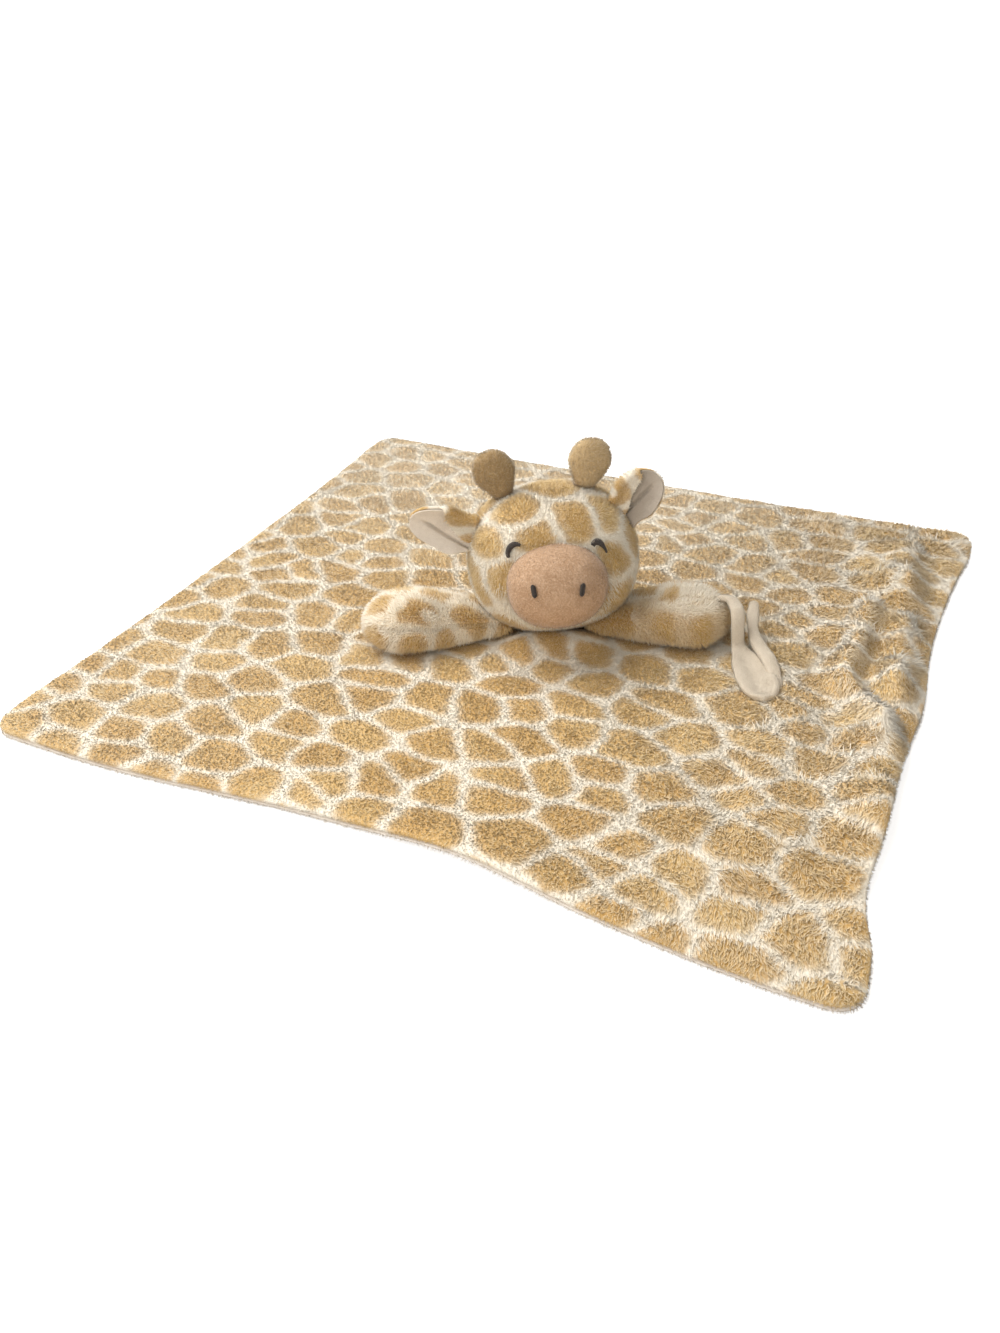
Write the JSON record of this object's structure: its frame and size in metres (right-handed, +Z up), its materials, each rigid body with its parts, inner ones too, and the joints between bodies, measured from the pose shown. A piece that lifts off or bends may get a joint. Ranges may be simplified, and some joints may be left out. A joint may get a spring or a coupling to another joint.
{
  "type": "comfort blanket lovey",
  "caption": "Square plush security blanket with a stuffed giraffe head, horns, ears and arms sewn to its middle and a pacifier strap at one paw.",
  "frame": {"origin": "on the resting surface, under the middle of the blanket's bounding box", "axes": "+Z up, +X along the blanket's width, on the side of the giraffe's left arm, and -Y towards the blanket's front edge, which the giraffe faces at an angle"},
  "size_m": [0.4, 0.372, 0.1033],
  "materials": {
    "print_plush": "long soft plush printed with tan patches between cream lines",
    "backing_plush": "short cream plush",
    "horn_plush": "short brown plush",
    "muzzle_velour": "peach velour",
    "ear_velour": "beige velour",
    "strap_velour": "cream velour",
    "black_thread": "satin-stitched thread",
    "stuffing": "polyester fibre filling"
  },
  "bodies": {
    "blanket": {"blanket_backing_panel": "backing_plush", "blanket_top_panel": "print_plush"},
    "neck": {"neck_sleeve": "print_plush"},
    "head": {"head_cover": "print_plush", "head_stuffing": "stuffing", "muzzle_cover": "muzzle_velour", "muzzle_stuffing": "stuffing", "left_eye_stitching": "black_thread", "right_eye_stitching": "black_thread", "left_nostril_stitching": "black_thread", "right_nostril_stitching": "black_thread"},
    "left_ear": {"left_ear_lining": "ear_velour", "left_ear_back": "print_plush"},
    "right_ear": {"right_ear_lining": "ear_velour", "right_ear_back": "print_plush"},
    "left_horn": {"left_horn_cover": "horn_plush", "left_horn_stuffing": "stuffing"},
    "right_horn": {"right_horn_cover": "horn_plush", "right_horn_stuffing": "stuffing"},
    "left_arm": {"left_arm_cover": "print_plush", "left_arm_stuffing": "stuffing"},
    "right_arm": {"right_arm_cover": "print_plush", "right_arm_stuffing": "stuffing"},
    "strap": {"strap_fixed_leg": "strap_velour"},
    "strap_end": {"strap_free_leg": "strap_velour"}
  },
  "joints": [
    {"name": "head_turn", "type": "hinge", "parent": "blanket", "child": "neck", "pos_m": [0.008, 0.0004, 0.006], "axis": [0, 0, 1], "range_deg": [-20, 20], "stiffness_Nm_per_rad": 0.02},
    {"name": "head_nod", "type": "hinge", "parent": "neck", "child": "head", "pos_m": [0.00166, 0.014, 0.006], "axis": [-0.9063, -0.4226, 0], "range_deg": [0, 22]},
    {"name": "left_ear_bend", "type": "hinge", "parent": "head", "child": "left_ear", "pos_m": [0.04222, 0.01483, 0.06868], "axis": [-0.8062, -0.0181, 0.5914], "range_deg": [-20, 20], "stiffness_Nm_per_rad": 0.002},
    {"name": "right_ear_bend", "type": "hinge", "parent": "head", "child": "right_ear", "pos_m": [-0.02825, -0.02185, 0.05791], "axis": [-0.0666, 0.2832, 0.9567], "range_deg": [-20, 20], "stiffness_Nm_per_rad": 0.002},
    {"name": "left_horn_bend", "type": "hinge", "parent": "head", "child": "left_horn", "pos_m": [0.01991, 0.01562, 0.08574], "axis": [0.866, 0.4508, -0.2164], "range_deg": [-15, 15], "stiffness_Nm_per_rad": 0.002},
    {"name": "right_horn_bend", "type": "hinge", "parent": "head", "child": "right_horn", "pos_m": [-0.01852, -0.00439, 0.08172], "axis": [0.8253, 0.4296, 0.3665], "range_deg": [-15, 15], "stiffness_Nm_per_rad": 0.002},
    {"name": "left_arm_fold", "type": "hinge", "parent": "blanket", "child": "left_arm", "pos_m": [0.02972, 0.00115, 0.0057], "axis": [0.1786, -0.383, -0.9063], "range_deg": [0, 40]},
    {"name": "right_arm_fold", "type": "hinge", "parent": "blanket", "child": "right_arm", "pos_m": [-0.01016, -0.01745, 0.0057], "axis": [-0.1786, 0.383, 0.9063], "range_deg": [0, 40]},
    {"name": "strap_lift", "type": "hinge", "parent": "left_arm", "child": "strap", "pos_m": [0.09545, 0.02695, 0.0221], "axis": [-0.9063, -0.4226, 0], "range_deg": [0, 75]},
    {"name": "strap_open", "type": "hinge", "parent": "strap", "child": "strap_end", "pos_m": [0.12827, -0.02568, 0.0081], "axis": [0.9063, 0.4226, 0], "range_deg": [0, 140]}
  ]
}
